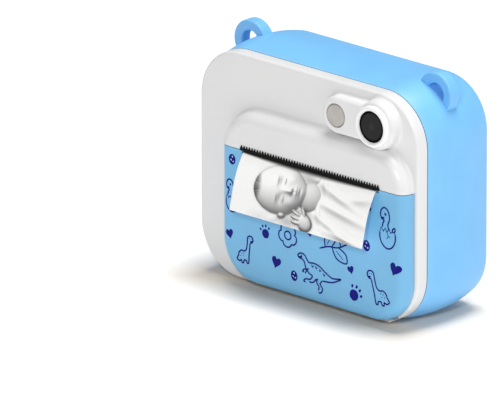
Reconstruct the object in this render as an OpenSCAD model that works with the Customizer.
// Kids' instant-print camera: two-part shell, hinged paper door, thermal printer and electronics.
// All sizes are in millimetres. X is the width, the front faces -Y, and Z is up from the floor.

/* [Body] */
// Width of the shell at the seam with the front plate
body_width = 94; // [90:0.5:98]
// Height of the shell at the seam with the front plate
body_height = 75.6; // [72:0.2:80]
// Radius of the four large corners
corner_radius = 17; // [12:0.5:20]
// Depth of the coloured rear shell
shell_depth = 30.5; // [28:0.5:34]
// How far the shell's sides swell between the seam and the back
belly = 1.6; // [0.8:0.1:2.4]
// Depth of the white front plate
plate_depth = 4.3; // [3.6:0.1:5]
// Thickness of the shell walls
wall = 2; // [1.6:0.1:2.4]

/* [Paper door] */
// Left edge of the raised printer front
bulge_left = -33.5; // [-36:0.5:-31]
// Right edge of the raised printer front
bulge_right = 45.5; // [43:0.1:45.6]
// Top of the raised printer front
bulge_top = 59.2; // [57:0.2:61]
// Height of the line between the door and the hood
door_top = 46.5; // [45:0.1:48]
// How far the raised front stands off the plate
bulge_depth = 5.2; // [4.8:0.1:6]
// Radius along the raised front's outer edge
bulge_edge = 3.6; // [3:0.1:3.8]

/* [Printer] */
// Width of the thermal paper
paper_width = 57; // [50:1:58]
// Outer radius of the paper roll
roll_radius = 12.5; // [10:0.5:12.5]
// Radius of the rubber platen
platen_radius = 4.5; // [4:0.1:4.5]
// Gear module
gear_module = 0.5; // [0.4:0.1:0.5]
// Teeth on the platen gear
platen_teeth = 18; // [18:1:18]
// Teeth on the idler gear
idler_teeth = 24; // [24:1:24]
// Teeth on the motor pinion
pinion_teeth = 10; // [10:1:10]

/* [Optics] */
// Sideways position of the lens
lens_x = 31.6; // [31:0.2:34]
// Height of the lens
lens_z = 66.6; // [66:0.2:68]
// Radius of the black lens window
lens_radius = 5.1; // [4.6:0.1:5.4]
// Sideways position of the fill light
lamp_x = 15.4; // [14:0.1:18]
// Radius of the fill light's diffuser
lamp_radius = 3.6; // [3.4:0.1:4.2]

/* [Controls] */
// Sideways position of the direction keys
pad_x = -28.5; // [-30:0.5:-27]
// Height of the direction keys
pad_z = 49.5; // [46:0.5:52]
// How far the keys stand out of the back
key_stand = 0.8; // [0.4:0.1:1.2]

/* [Hidden] */
$fn = 96;
tiny = 0.01;
seam_y = -7.51;
base_z = 0.8;
top_z = base_z + body_height;
half_w = body_width / 2;
cx = half_w - corner_radius;
cz0 = base_z + corner_radius;
cz1 = top_z - corner_radius;
front_y = -plate_depth;
bulge_y = front_y - bulge_depth;
inner_r = corner_radius - wall;
back_in = shell_depth - wall;
mid_x = (bulge_left + bulge_right) / 2;
bulge_r = 14;
bulge_z0 = 2.1;
skin = 1.8;
pivot_y = bulge_y + bulge_edge;
pivot_z = bulge_z0 + bulge_edge;
magnet_z = 28;
magnet_x = [-29.6, 41];
roll_y = 6.2;
roll_z = 18.3;
paper_x = 5.5;
paper_x0 = paper_x - paper_width / 2;
paper_x1 = paper_x + paper_width / 2;
platen_y = -2.2;
platen_z = 41;
head_y = platen_y + platen_radius + 0.15;
pitch_a = gear_module * platen_teeth / 2;
pitch_b = gear_module * idler_teeth / 2;
pitch_c = gear_module * pinion_teeth / 2;
motor_y = 14.6;
motor_z = 38.6;
reach_ab = pitch_a + pitch_b + 0.08;
reach_bc = pitch_b + pitch_c + 0.08;
base_len = norm([motor_y - platen_y, motor_z - platen_z]);
base_dir = atan2(motor_z - platen_z, motor_y - platen_y);
lift = acos((base_len * base_len + reach_ab * reach_ab - reach_bc * reach_bc) / (2 * base_len * reach_ab));
dir_ab = base_dir + lift;
idler_y = platen_y + reach_ab * cos(dir_ab);
idler_z = platen_z + reach_ab * sin(dir_ab);
dir_bc = atan2(motor_z - idler_z, motor_y - idler_y);
platen_phase = 7;
idler_phase = dir_ab + 180 - (platen_phase - dir_ab) * platen_teeth / idler_teeth + 180 / idler_teeth;
pinion_phase = dir_bc + 180 - (idler_phase - dir_bc) * idler_teeth / pinion_teeth + 180 / pinion_teeth;
gear_x0 = 38.7;
gear_x1 = 41.3;
guide_y = head_y + 0.05;
guide_z = 35.4;
guide_r = 0.8;
spindle_r = 3.95;
core_in = 4;
core_out = 6.4;
board_y0 = 22;
board_y1 = 23.2;
window_x0 = -15;
window_x1 = 39;
window_z0 = 29;
window_z1 = 69.4;
post_list = [[-39, 10], [39, 10], [-39, 67], [23.2, 71.5]];
standoff_list = [[-33, 12], [33, 12], [-20, 66]];
key_list = [[0, 9], [0, -9], [9, 0], [-9, 0]];
round_key_list = [[-34.5, 30.5], [-22.5, 30.5]];
shell_blue = [0.5, 0.78, 0.98];
plate_white = [0.93, 0.93, 0.93];
door_blue = [0.49, 0.75, 0.92];

// ---------- helpers ----------

// Moves a shape from the seam's own frame to the part's frame
module place() {
    translate([0, seam_y, 0]) children();
}

// Extrudes an X-Z outline from y = a to y = b
module along_y(a, b) {
    translate([0, b, 0]) rotate([90, 0, 0]) linear_extrude(b - a) children();
}

// Extrudes a Y-Z outline from x = a to x = b
module along_x(a, b) {
    translate([a, 0, 0]) rotate([90, 0, 90]) linear_extrude(b - a) children();
}

module box(x0, x1, y0, y1, z0, z1) {
    translate([x0, y0, z0]) cube([x1 - x0, y1 - y0, z1 - z0]);
}

module rod_x(x0, x1, y, z, r) {
    translate([x0, y, z]) rotate([0, 90, 0]) cylinder(h = x1 - x0, r = r);
}

module rod_y(y0, y1, x, z, r) {
    translate([x, y1, z]) rotate([90, 0, 0]) cylinder(h = y1 - y0, r = r);
}

module rounded(x0, x1, z0, z1, r) {
    translate([x0 + r, z0]) square([x1 - x0 - 2 * r, z1 - z0]);
    translate([x0, z0 + r]) square([x1 - x0, z1 - z0 - 2 * r]);
    for (x = [x0 + r, x1 - r]) for (z = [z0 + r, z1 - r]) translate([x, z]) circle(r);
}

// Sweeps a radial profile around a rounded rectangle; the profile's second axis points to the front
module swept(x0, x1, z0, z1, r, h0, h1) {
    w = x1 - x0 - 2 * r;
    h = z1 - z0 - 2 * r;
    rotate([90, 0, 0]) union() {
        translate([x1 - r, z1 - r, 0]) rotate_extrude(angle = 90) children();
        translate([x0 + r, z1 - r, 0]) rotate([0, 0, 90]) rotate_extrude(angle = 90) children();
        translate([x0 + r, z0 + r, 0]) rotate([0, 0, 180]) rotate_extrude(angle = 90) children();
        translate([x1 - r, z0 + r, 0]) rotate([0, 0, 270]) rotate_extrude(angle = 90) children();
        translate([x1 - r, z1 - r, 0]) rotate([90, 0, 0]) linear_extrude(h) children();
        translate([x0 + r, z1 - r, 0]) rotate([0, 0, 90]) rotate([90, 0, 0]) linear_extrude(w) children();
        translate([x0 + r, z0 + r, 0]) rotate([0, 0, 180]) rotate([90, 0, 0]) linear_extrude(h) children();
        translate([x1 - r, z0 + r, 0]) rotate([0, 0, 270]) rotate([90, 0, 0]) linear_extrude(w) children();
        translate([x0 + r, z0 + r, h0]) cube([w, h, h1 - h0]);
    }
}

// A block profile with one rounded outer edge at the front
module edge_profile(r, h0, h1, f) {
    translate([0, h0]) square([r, h1 - h0 - f]);
    translate([0, h0]) square([r - f, h1 - h0]);
    translate([r - f, h1 - f]) circle(f);
}

// One spur gear outline with a slightly curved flank and running backlash
function flank(r, a) = [r * cos(a), r * sin(a)];
module gear_outline(teeth, phase) {
    rp = gear_module * teeth / 2;
    ro = rp + gear_module;
    rr = rp - 1.25 * gear_module;
    hp = 90 / teeth - 0.09 / rp * 57.3;
    polygon([for (i = [0:teeth - 1]) for (k = [0:7]) let (
        c = phase + i * 360 / teeth,
        r = [rr, rr + 0.12, rp, ro, ro, rp, rr + 0.12, rr][k],
        a = [-1.75, -1.45, -1, -0.42, 0.42, 1, 1.45, 1.75][k] * hp
    ) flank(r, c + a)]);
}

// ---------- body ----------

module shell_profile() {
    big = (13.25 * 13.25 + belly * belly) / (2 * belly);
    f = 4;
    u0 = belly - big;
    uf = u0 + sqrt((big - f) * (big - f) - 13.25 * 13.25);
    ut = 13.25 + 13.25 * big / (big - f);
    intersection() {
        translate([corner_radius + u0, -13.25]) circle(big);
        translate([0, -ut]) square([corner_radius + 3, ut]);
    }
    translate([corner_radius + uf, f - shell_depth]) circle(f);
    translate([0, -shell_depth]) square([corner_radius + uf, shell_depth]);
}

module strap_loop(x) {
    translate([x, 15.5, 74.45]) rotate([90, 0, 0]) rotate_extrude() {
        translate([3.5, 0.7]) square([3.5, 3]);
        translate([4.2, 0]) square([2.1, 4.4]);
        for (r = [4.2, 6.3]) for (h = [0.7, 3.7]) translate([r, h]) circle(0.7);
    }
}

module shell_posts() {
    for (p = post_list) rod_y(0.3, back_in + tiny, p[0], p[1], 2.6);
    for (p = standoff_list) rod_y(board_y1, back_in + tiny, p[0], p[1], 2);
}

module shell_cuts() {
    for (p = post_list) {
        rod_y(-1, 31, p[0], p[1], 1.25);
        rod_y(28, 31, p[0], p[1], 2.5);
    }
    for (p = standoff_list) rod_y(20, 27, p[0], p[1], 0.75);
    along_y(29.5, 32) rounded(window_x0, window_x1, window_z0, window_z1, 3);
    along_y(27, 32) rounded(window_x0 + 1.5, window_x1 - 1.5, window_z0 + 1.5, window_z1 - 1.5, 2);
    for (k = key_list) rod_y(27, 32, pad_x + k[0], pad_z + k[1], 3.3);
    rod_y(27, 32, pad_x, pad_z, 4.1);
    for (k = round_key_list) rod_y(27, 32, k[0], k[1], 3.3);
    for (i = [0:4]) for (j = [0:2]) rod_y(27, 32, 4 + i * 3, 13.5 + j * 3, 0.8);
    box(-50, -44, 12.2, 15.8, 48.2, 57.4);
    box(-50, -44, 13.1, 14.3, 34, 45.2);
    box(-50, -47.3, 8.2, 18.9, 46, 59.6);
    translate([-47.95, 18.2, 45.1]) cylinder(h = 15.4, r = 0.4);
    translate([-47.95, 18.2, 46]) cylinder(h = 13.6, r = 1);
}

module rear_shell() color(shell_blue) place() {
    difference() {
        union() {
            difference() {
                union() {
                    swept(-half_w, half_w, base_z, top_z, corner_radius, -shell_depth, 0) shell_profile();
                    strap_loop(-39.75);
                    strap_loop(39.75);
                }
                along_y(-1, back_in) rounded(-half_w + wall, half_w - wall, base_z + wall, top_z - wall, inner_r);
                box(-60, 60, -5, 40, -5, 0);
            }
            shell_posts();
        }
        shell_cuts();
    }
}

// The lens pod: a long rounded pad with a larger round boss for the lens, blended into the plate
module pod_profile(r, top) {
    edge_profile(r, plate_depth - 0.3, top, 1.4);
    difference() {
        translate([0, plate_depth - 0.3]) square([r + 1.4, 1.6]);
        translate([r + 1.4, plate_depth + 1.3]) circle(1.4);
    }
}

module lens_pod() {
    swept(lamp_x - 6.2, lens_x + 6.5, lens_z - 6.2, lens_z + 6, 6, plate_depth - 0.3, 8.3) pod_profile(6, 8.3);
    translate([lens_x + 0.2, 0, lens_z]) rotate([90, 0, 0]) rotate_extrude() pod_profile(8, 8.36);
}

// The hood over the printer, with a hollow blend into the plate along its top and left
module hood_profile() {
    edge_profile(bulge_r, plate_depth - 0.3, plate_depth + bulge_depth, bulge_edge);
    difference() {
        translate([0, plate_depth - 0.3]) square([bulge_r + 1.6, 1.8]);
        translate([bulge_r + 1.6, plate_depth + 1.5]) circle(1.6);
    }
}

module bulge_hollow(z0) {
    intersection() {
        along_y(bulge_y + skin, -1)
            rounded(bulge_left + skin, bulge_right - skin, bulge_z0 + skin, bulge_top - skin, bulge_r - skin);
        box(-60, 60, -12, 2, z0, 70);
    }
}

module plate_profile() {
    edge_profile(corner_radius, 0, plate_depth, 1.15);
}

module hinge_pocket() {
    rod_x(mid_x - 32.5, mid_x + 32.5, pivot_y, pivot_z, bulge_edge + 0.3);
}

module knuckle(x) {
    rod_x(x, x + 1.6, pivot_y, pivot_z, 2.5);
    box(x, x + 1.6, pivot_y, -1.8, pivot_z - 1.3, pivot_z + 1.1);
}

module front_shell() color(plate_white) place() {
    difference() {
        union() {
            difference() {
                union() {
                    swept(-half_w, half_w, base_z, top_z, corner_radius, 0, plate_depth) plate_profile();
                    intersection() {
                        swept(bulge_left, bulge_right, bulge_z0, bulge_top, bulge_r,
                            plate_depth - 0.3, plate_depth + bulge_depth) hood_profile();
                        box(-60, bulge_right, -20, 0, door_top + 0.15, 70);
                    }
                    intersection() {
                        lens_pod();
                        along_y(-12, 0) rounded(-half_w + 0.6, half_w - 0.6, base_z + 0.6, top_z - 0.6,
                            corner_radius - 0.6);
                    }
                }
                along_y(-plate_depth + wall, 1)
                    rounded(-half_w + wall, half_w - wall, base_z + wall, top_z - wall, inner_r);
                bulge_hollow(door_top + 1.9);
                box(paper_x0 - 1.2, paper_x1 + 1.2, -12, 1, 8.4, 46.75);
                box(-28.4, 42.4, -12, 1, 34.6, 46.45);
                box(-26, 37, -8.2, -2, 40, 50);
            }
            box(-24, 35, -4.2, -1.5, 1.2, 8);
            box(-34, -24, -4.2, -1.5, 2.2, 8);
            box(35, 39, -4.2, -1.5, 4, 8);
            for (p = post_list) rod_y(-2.4, 0.2, p[0], p[1], 2.6);
        }
        hinge_pocket();
        for (p = post_list) rod_y(-1.9, 1, p[0], p[1], 1.2);
        rod_y(-12, 2, lens_x, lens_z, 6.75);
        rod_y(-12, -7.0, lamp_x, lens_z - 0.1, lamp_radius + 0.35);
        rod_y(-12, 2, lamp_x, lens_z - 0.1, 3.2);
    }
    difference() {
        union() {
            knuckle(mid_x + 23.2);
            knuckle(mid_x - 24.8);
        }
        rod_x(-40, 50, pivot_y, pivot_z, 1);
    }
    for (x = magnet_x) difference() {
        rod_y(-2.4, -1.6, x, magnet_z, 3);
        rod_y(-2.5, -1, x, magnet_z, 2.1);
    }
}

// ---------- paper door and hinge ----------

module door_profile() {
    edge_profile(bulge_r, 1.9, plate_depth + bulge_depth, bulge_edge);
}

module door_arm(x0) {
    difference() {
        union() {
            box(x0, x0 + 1.4, bulge_y + 1, platen_y, 37.6, 44.4);
            rod_x(x0, x0 + 1.4, platen_y, platen_z, 3.4);
        }
        rod_x(x0 - 1, x0 + 3, platen_y, platen_z, 2.5);
    }
}

module paper_door() color(door_blue) place() {
    difference() {
        union() {
            difference() {
                intersection() {
                    swept(bulge_left, bulge_right, bulge_z0, bulge_top, bulge_r,
                        1.9, plate_depth + bulge_depth) door_profile();
                    box(-60, 60, -20, 0, 0, door_top - 0.1);
                }
                difference() {
                    union() {
                        box(-60, 60, front_y - 0.15, 5, -1, 60);
                        box(-60, 60, pivot_y, 5, -1, pivot_z);
                    }
                    rod_x(mid_x - 32.2, mid_x + 32.2, pivot_y, pivot_z, bulge_edge - 0.1);
                }
                bulge_hollow(pivot_z + bulge_edge);
            }
            door_arm(-24.7);
            door_arm(34.3);
            for (x = magnet_x) rod_y(-8, front_y - 0.3, x, magnet_z, 2.6);
        }
        for (x = [mid_x - 25, mid_x + 23]) {
            rod_x(x, x + 2, pivot_y, pivot_z, 2.75);
            box(x, x + 2, pivot_y - 1.7, 5, 0, pivot_z);
            box(x, x + 2, pivot_y, 5, 0, pivot_z + 1.4);
        }
        rod_x(mid_x - 26, mid_x + 26, pivot_y, pivot_z, 1.05);
        box(paper_x0 - 1, paper_x1 + 1, -12, 5, 45.4, 50);
        for (x = magnet_x) rod_y(-6.5, 0, x, magnet_z, 2);
    }
}

module hinge_pin() color([0.72, 0.73, 0.75]) place() {
    rod_x(mid_x - 25.6, mid_x + 25.6, pivot_y, pivot_z, 1);
}

module door_magnets() color([0.7, 0.7, 0.72]) place() {
    for (x = magnet_x) rod_y(-6.5, front_y - 0.35, x, magnet_z, 2);
}

module magnet_keepers() color([0.55, 0.56, 0.58]) place() {
    for (x = magnet_x) rod_y(-2.28, -1.78, x, magnet_z, 2.05);
}

// ---------- optics ----------

module lens_ring() color([0.96, 0.96, 0.96]) place() {
    translate([lens_x, 0, lens_z]) rotate([90, 0, 0]) rotate_extrude() {
        translate([lens_radius + 0.05, 6]) square([1.6, 3.2]);
        translate([lens_radius + 0.85, 9.2]) circle(0.8);
        translate([4.2, 6]) square([2, 2.2]);
    }
}

module lens_window() color([0.05, 0.05, 0.06]) place() {
    rod_y(-9.3, -8.25, lens_x, lens_z, lens_radius);
}

module lens_barrel() color([0.1, 0.1, 0.1]) place() {
    difference() {
        union() {
            rod_y(-5.8, 2.5, lens_x, lens_z, 5.4);
            box(lens_x - 5.6, lens_x + 4.5, 2.4, 5, lens_z - 6.5, lens_z + 4.5);
        }
        rod_y(-6, 0, lens_x, lens_z, 4.2);
        rod_y(-1, 6, lens_x, lens_z, 3);
    }
}

module lens_element() color([0.4, 0.5, 0.6]) place() {
    translate([lens_x, 0, lens_z]) rotate([90, 0, 0]) rotate_extrude() intersection() {
        translate([0, -3.5]) circle(8);
        translate([0, 0.05]) square([4.15, 8]);
    }
}

module sensor_board() color([0.06, 0.3, 0.16]) place() {
    box(lens_x - 5.6, lens_x + 4.6, 5, 6, lens_z - 6.8, lens_z + 4.6);
    box(lens_x - 2.2, lens_x + 2.2, 4, 5.1, lens_z - 1.9, lens_z + 1.9);
    box(lens_x - 5, lens_x + 2, 6, 7.6, lens_z - 6, lens_z - 3);
}

module flash_diffuser() color([0.74, 0.72, 0.69]) place() {
    translate([lamp_x, 0, lens_z - 0.1]) rotate([90, 0, 0]) rotate_extrude() {
        edge_profile(lamp_radius, 7.05, 8.5, 0.35);
        translate([0, 3.6]) square([3.1, 3.6]);
    }
}

module flash_board() color([0.9, 0.9, 0.88]) place() {
    box(lamp_x - 4.5, lamp_x + 4.5, -2.25, -1.25, lens_z - 4.6, lens_z + 4.4);
    box(lamp_x - 1.6, lamp_x + 1.6, -3.2, -2.2, lens_z - 1.7, lens_z + 1.5);
}

// ---------- printer ----------

module tear_bar() color([0.05, 0.05, 0.05]) place() {
    x0 = -24.5;
    pitch = 1.15;
    count = 52;
    root = 47.1;
    tip = 48.15;
    along_y(bulge_y - 0.4, bulge_y) polygon(concat(
        [[x0, 46.5], [x0, root]],
        [for (i = [0:count - 1]) for (k = [0.12, 0.5, 0.88]) [x0 + (i + k) * pitch, k == 0.5 ? tip : root]],
        [[x0 + count * pitch, root], [x0 + count * pitch, 46.5]]
    ));
    box(-24.1, 35.1, bulge_y - 0.4, bulge_y + 1.7, 46.5, 46.74);
}

module frame_side(x0) {
    difference() {
        along_x(x0, x0 + 1.4) union() {
            translate([-1.6, 36.5]) square([5, 14]);
            translate([0, 33.2]) square([10.5, 17.3]);
            translate([8, 31.6]) square([13.2, 15.2]);
        }
        rod_x(x0 - 1, x0 + 3, platen_y, platen_z, 2.6);
        box(x0 - 1, x0 + 3, -5, platen_y, 36.4, 43.6);
    }
}

module print_frame() color([0.16, 0.16, 0.17]) place() {
    difference() {
        union() {
            frame_side(-27);
            frame_side(36.6);
            box(-27, 38, 6.9, 7.9, 37, 50.5);
            box(-27, 38, -1.4, 7.9, 49.3, 50.5);
        }
        rod_x(30, 40, motor_y, motor_z, 2.1);
        rod_x(30, 38.1, idler_y, idler_z, 1);
    }
    rod_x(-27, 38, guide_y + guide_r, guide_z, guide_r);
    for (x = [-12, 23]) rod_y(4.95, 7, x, 41, 0.6);
}

module print_head() color([0.6, 0.58, 0.55]) place() {
    box(-21.5, 32.5, head_y + 0.25, head_y + 1.1, 37.6, 45);
    intersection() {
        rod_x(-19.5, 30.5, head_y + 1.45, platen_z, 1.45);
        box(-30, 40, head_y, head_y + 0.4, 37.6, 45);
    }
    difference() {
        box(-22.5, 33.5, head_y + 1.1, head_y + 2.5, 37.2, 47);
        for (x = [-12, 23]) rod_y(head_y + 1.6, head_y + 3, x, 41, 0.8);
    }
    for (x = [-16, -2, 13, 27]) box(x - 0.5, x + 0.5, head_y + 2.4, head_y + 3.4, 38, 46);
}

module head_springs() color([0.75, 0.76, 0.78]) place() {
    for (x = [-12, 23]) {
        for (i = [0:3]) translate([x, 5.25 + i * 0.45, 41]) rotate([90, 0, 0])
            rotate_extrude() translate([1.35, 0]) circle(0.2);
        difference() {
            rod_y(5.0, 6.85, x, 41, 1.4);
            rod_y(4.9, 7, x, 41, 1.25);
        }
    }
}

module motor_body() color([0.72, 0.73, 0.75]) place() {
    rod_x(19, 36, motor_y, motor_z, 6.5);
    rod_x(36, 36.6, motor_y, motor_z, 4.2);
    rod_x(36.5, gear_x1 + 0.6, motor_y, motor_z, 0.75);
    box(22, 30, motor_y + 5.6, motor_y + 7, motor_z - 3, motor_z + 3);
}

module motor_pinion() color([0.85, 0.84, 0.78]) place() {
    difference() {
        union() {
            translate([0, 0, 0]) along_x(gear_x0, gear_x1) translate([motor_y, motor_z])
                gear_outline(pinion_teeth, pinion_phase);
            rod_x(gear_x1, gear_x1 + 0.4, motor_y, motor_z, 1.6);
        }
        rod_x(gear_x0 - 1, gear_x1 + 2, motor_y, motor_z, 0.8);
    }
}

module idler_axle() color([0.72, 0.73, 0.75]) place() {
    rod_x(36.6, gear_x1 + 0.5, idler_y, idler_z, 0.95);
    rod_x(gear_x1 + 0.35, gear_x1 + 0.8, idler_y, idler_z, 1.6);
}

module idler_gear() color([0.85, 0.84, 0.78]) place() {
    difference() {
        union() {
            along_x(gear_x0, gear_x1) translate([idler_y, idler_z]) gear_outline(idler_teeth, idler_phase);
            rod_x(38.25, gear_x1 + 0.2, idler_y, idler_z, 2.2);
        }
        rod_x(38, gear_x1 + 1, idler_y, idler_z, 1);
        for (a = [0:60:300]) rod_x(38, 50, idler_y + 3.6 * cos(a), idler_z + 3.6 * sin(a), 0.9);
    }
}

module platen_roller() color([0.13, 0.13, 0.14]) place() {
    difference() {
        rod_x(-22.4, 33.4, platen_y, platen_z, platen_radius);
        rod_x(-23, 34, platen_y, platen_z, 2.2);
    }
}

module platen_shaft() color([0.75, 0.76, 0.78]) place() {
    difference() {
        union() {
            rod_x(-27.2, gear_x1 + 0.4, platen_y, platen_z, 1.5);
            rod_x(-22.4, 33.4, platen_y, platen_z, 2.2);
        }
        box(gear_x0 + 0.1, 45, platen_y + 1.1, platen_y + 3, platen_z - 3, platen_z + 3);
    }
}

module platen_gear() color([0.85, 0.84, 0.78]) place() {
    difference() {
        union() {
            along_x(gear_x0, gear_x1) translate([platen_y, platen_z]) gear_outline(platen_teeth, platen_phase);
            rod_x(38.25, gear_x1 + 0.2, platen_y, platen_z, 2.6);
        }
        difference() {
            rod_x(38, 45, platen_y, platen_z, 1.5);
            box(gear_x0 + 0.1, 46, platen_y + 1.1, platen_y + 3, platen_z - 3, platen_z + 3);
        }
    }
}

module bush(x0, x1, lip0, lip1) {
    difference() {
        union() {
            rod_x(x0, x1, platen_y, platen_z, 2.5);
            rod_x(lip0, lip1, platen_y, platen_z, 3.1);
        }
        rod_x(x0 - 1, x1 + 1, platen_y, platen_z, 1.55);
    }
}

module platen_bushes() color([0.9, 0.89, 0.84]) place() {
    bush(-27, -23, -23.3, -22.8);
    bush(33.6, 38, 33.6, 34.3);
}

module roll_tray() color([0.2, 0.2, 0.21]) place() {
    difference() {
        rod_x(-25, 36, roll_y, roll_z, roll_radius + 1.6);
        rod_x(-23.8, 34.8, roll_y, roll_z, roll_radius + 0.8);
        box(-30, 40, -12, -1.4, 0, 40);
        box(-30, 40, -12, 25, 28, 40);
        box(-30, 40, -12, 0.5, 12, 40);
        box(-23.8, 34.8, -12, 16, 19, 40);
        rod_x(-30, 40, roll_y, roll_z, spindle_r);
    }
}

module roll_spindle() color([0.86, 0.86, 0.84]) place() {
    difference() {
        rod_x(-25, 36, roll_y, roll_z, spindle_r);
        rod_x(-26, 37, roll_y, roll_z, 2.6);
    }
}

module roll_core() color([0.25, 0.24, 0.24]) place() {
    difference() {
        rod_x(paper_x0, paper_x1, roll_y, roll_z, core_out);
        rod_x(paper_x0 - 1, paper_x1 + 1, roll_y, roll_z, core_in);
    }
}

module paper_roll() color([0.96, 0.96, 0.95]) place() {
    difference() {
        rod_x(paper_x0, paper_x1, roll_y, roll_z, roll_radius);
        rod_x(paper_x0 - 1, paper_x1 + 1, roll_y, roll_z, core_out);
    }
}

// A curved stretch of paper about an axis along X, between two angles in the Y-Z plane
module curl(y, z, r, a0, a1) {
    translate([paper_x0, y, z]) rotate([90, 0, 90]) rotate([0, 0, a0])
        rotate_extrude(angle = a1 - a0) translate([r - 0.06, 0]) square([0.12, paper_width]);
}

// A straight stretch of paper from one point, along an angle
module sheet(y, z, a, len) {
    along_x(paper_x0, paper_x1) translate([y, z]) rotate(a) translate([0, -0.06]) square([len, 0.12]);
}

module paper_web() color([0.97, 0.97, 0.96]) place() {
    r = roll_radius + 0.12;
    gy = guide_y + guide_r;
    g = guide_r + 0.12;
    span = norm([gy - roll_y, guide_z - roll_z]);
    dir = atan2(guide_z - roll_z, gy - roll_y);
    t = dir - acos((r + g) / span);
    len = sqrt(span * span - (r + g) * (r + g));
    sheet(roll_y + r * cos(t), roll_z + r * sin(t), t + 90, len);
    curl(gy, guide_z, g, 180, t + 180);
    sheet(gy - g, guide_z, 90, platen_z + 1.2 - guide_z);
}

// The printed strip: around the platen, out under the tear bar and down in a widening curl
function at(y, z, r, a) = [y + r * cos(a), z + r * sin(a)];
function arc(y, z, r, a0, a1, n) = [for (i = [0:n]) at(y, z, r, a0 + (a1 - a0) * i / n)];
function flip(v) = [for (i = [len(v) - 1:-1:0]) v[i]];
module paper_strip() color([0.98, 0.98, 0.97]) place() {
    t = 0.06;
    r = platen_radius + 0.12;
    py = platen_y + r * cos(96);
    pz = platen_z + r * sin(96);
    run = 6.0;
    b = 1.6;
    by = py - run * cos(6) + b * cos(264);
    bz = pz + run * sin(6) + b * sin(264);
    w = 34;
    wy = by + b * cos(147) + w * cos(327);
    wz = bz + b * sin(147) + w * sin(327);
    ey = wy + w * cos(167) + 6.4 * cos(257);
    ez = wz + w * sin(167) + 6.4 * sin(257);
    upper = concat(arc(platen_y, platen_z, r + t, 20, 96, 19), arc(by, bz, b + t, 84, 147, 10),
        arc(wy, wz, w + t, 147, 167, 16), [[ey + t * cos(167), ez + t * sin(167)]]);
    lower = concat(arc(platen_y, platen_z, r - t, 20, 96, 19), arc(by, bz, b - t, 84, 147, 10),
        arc(wy, wz, w - t, 147, 167, 16), [[ey - t * cos(167), ez - t * sin(167)]]);
    along_x(paper_x0, paper_x1) polygon(concat(upper, flip(lower)));
}

// ---------- electronics ----------

module main_board() color([0.05, 0.32, 0.2]) place() {
    difference() {
        union() {
            along_y(board_y0, board_y1) rounded(-35.5, 35.5, 7.5, 68.4, 2);
            box(-42, -34, board_y0, board_y1, 24, 58);
        }
        for (p = standoff_list) rod_y(20, 25, p[0], p[1], 1.1);
    }
}

module board_parts() color([0.1, 0.1, 0.11]) place() {
    box(-9, 1, 20.6, board_y0, 50, 60);
    box(8, 14, 20.9, board_y0, 52, 58);
    box(-20, -14, 20.8, board_y0, 48, 53);
    box(18, 24, 19.6, board_y0, 62, 66);
    box(-32, -28, 20.2, board_y0, 62, 66);
    box(28, 32, 19.4, board_y0, 48, 54);
    box(-30, -18, board_y1, 24.4, 9, 14);
    for (i = [0:5]) box(-18 + i * 3, -16.8 + i * 3, 21.3, board_y0, 63, 63.8);
}

module switch_at(x, z) {
    box(x - 2.2, x + 2.2, board_y1, 25.2, z - 2.2, z + 2.2);
    rod_y(25.1, 26.3, x, z, 1.2);
}

module key_switches() color([0.15, 0.15, 0.16]) place() {
    for (k = key_list) switch_at(pad_x + k[0], pad_z + k[1]);
    switch_at(pad_x, pad_z);
    for (k = round_key_list) switch_at(k[0], k[1]);
}

module screen_module() color([0.3, 0.31, 0.33]) place() {
    box(-13.5, 38, 25.4, 28.2, 28.5, 68.2);
    box(4, 18, board_y1, 25.5, 40, 44);
}

module screen_window() color([0.04, 0.05, 0.06]) place() {
    along_y(29.55, 30.5) rounded(window_x0 + 0.1, window_x1 - 0.1, window_z0 + 0.1, window_z1 - 0.1, 2.9);
}

module speaker() color([0.2, 0.2, 0.2]) place() {
    rod_y(24.4, 28.2, 10, 16.5, 8.6);
    rod_y(board_y1, 24.5, 10, 16.5, 5);
}

module battery() color([0.75, 0.76, 0.78]) place() {
    translate([0, 0, 0]) along_y(0.6, 8.2) rounded(-32, 8, 52, 73.5, 1.5);
    box(8, 9.6, 2, 7, 55, 70);
}

module port_board() color([0.05, 0.32, 0.2]) place() {
    box(-44.4, -29.5, 15.9, 16.9, 32, 60);
    box(-40, -31, 16.9, board_y0, 50, 54);
}

module usb_socket() color([0.75, 0.76, 0.78]) place() {
    difference() {
        along_x(-44.9, -37.6) translate([12.5, 48.5]) union() {
            translate([0, 1.2]) square([3.3, 6.2]);
            translate([1.2, 0]) square([0.9, 8.6]);
            for (y = [1.2, 2.1]) for (z = [1.2, 7.4]) translate([y, z]) circle(1.2);
        }
        box(-46, -39, 13.0, 15.3, 49.4, 56.2);
    }
    box(-44.6, -38.9, 13.85, 14.45, 50, 55.6);
}

module card_socket() color([0.78, 0.79, 0.8]) place() {
    difference() {
        box(-44.6, -31, 12.6, 15.8, 33, 45.7);
        box(-45, -31.6, 13.2, 14.3, 33.9, 45.2);
    }
}

module memory_card() color([0.08, 0.08, 0.09]) place() {
    box(-47.6, -32.6, 13.35, 14.1, 34.15, 45.05);
}

module port_cover() color(shell_blue) place() {
    box(-48.35, -47.4, 8.4, 18.2, 46.2, 59.4);
    translate([-47.95, 18.2, 46.2]) cylinder(h = 13.2, r = 0.45);
    translate([-47.95, 18.2, 45.2]) cylinder(h = 15.2, r = 0.35);
    box(-48.7, -48.3, 8.6, 9.6, 50.5, 55);
}

// ---------- screws and keys ----------

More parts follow.
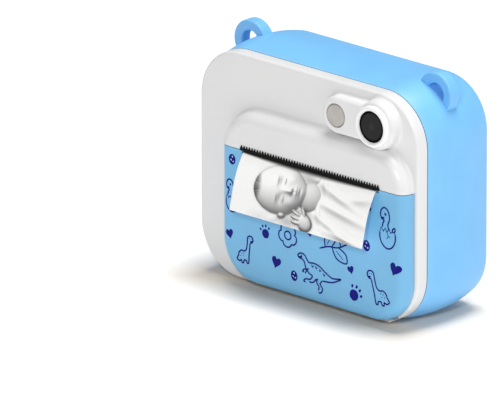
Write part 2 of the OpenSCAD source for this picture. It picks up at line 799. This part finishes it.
module housing_screws() color([0.45, 0.46, 0.48]) place() {
    for (p = post_list) difference() {
        union() {
            rod_y(-1.8, 28.1, p[0], p[1], 1.15);
            rod_y(28.0, 29.6, p[0], p[1], 2.3);
        }
        along_y(29, 30) translate(p) union() {
            translate([-1.5, -0.3]) square([3, 0.6]);
            translate([-0.3, -1.5]) square([0.6, 3]);
        }
    }
}

module board_screws() color([0.45, 0.46, 0.48]) place() {
    for (p = standoff_list) {
        rod_y(board_y0 - 1.2, board_y0, p[0], p[1], 1.9);
        rod_y(board_y0 - 0.1, 26.8, p[0], p[1], 0.72);
    }
}

module key_cap(x, z, r) {
    translate([x, 0, z]) rotate([-90, 0, 0]) rotate_extrude() {
        translate([0, 27.5]) square([r, 3.4]);
        translate([0, 27.5]) square([r - 0.4, shell_depth + key_stand - 27.5]);
        translate([r - 0.4, shell_depth + key_stand - 0.4]) circle(0.4);
        translate([0, 27.45]) square([r + 0.5, 0.85]);
        translate([0, 27.0]) square([1.1, 0.6]);
    }
}

module key_up() color(plate_white) place() key_cap(pad_x, pad_z + 9, 3.1);
module key_down() color(plate_white) place() key_cap(pad_x, pad_z - 9, 3.1);
module key_left() color(plate_white) place() key_cap(pad_x + 9, pad_z, 3.1);
module key_right() color(plate_white) place() key_cap(pad_x - 9, pad_z, 3.1);
module key_ok() color([0.1, 0.12, 0.5]) place() key_cap(pad_x, pad_z, 3.9);
module key_power() color([0.1, 0.12, 0.5]) place() key_cap(-34.5, 30.5, 3.1);
module key_print() color([0.1, 0.12, 0.5]) place() key_cap(-22.5, 30.5, 3.1);

rear_shell();
front_shell();
paper_door();
hinge_pin();
door_magnets();
magnet_keepers();
lens_ring();
lens_window();
lens_barrel();
lens_element();
sensor_board();
flash_diffuser();
flash_board();
tear_bar();
print_frame();
print_head();
head_springs();
motor_body();
motor_pinion();
idler_axle();
idler_gear();
platen_roller();
platen_shaft();
platen_gear();
platen_bushes();
roll_tray();
roll_spindle();
roll_core();
paper_roll();
paper_web();
paper_strip();
main_board();
board_parts();
key_switches();
screen_module();
screen_window();
speaker();
battery();
port_board();
usb_socket();
card_socket();
memory_card();
port_cover();
housing_screws();
board_screws();
key_up();
key_down();
key_left();
key_right();
key_ok();
key_power();
key_print();
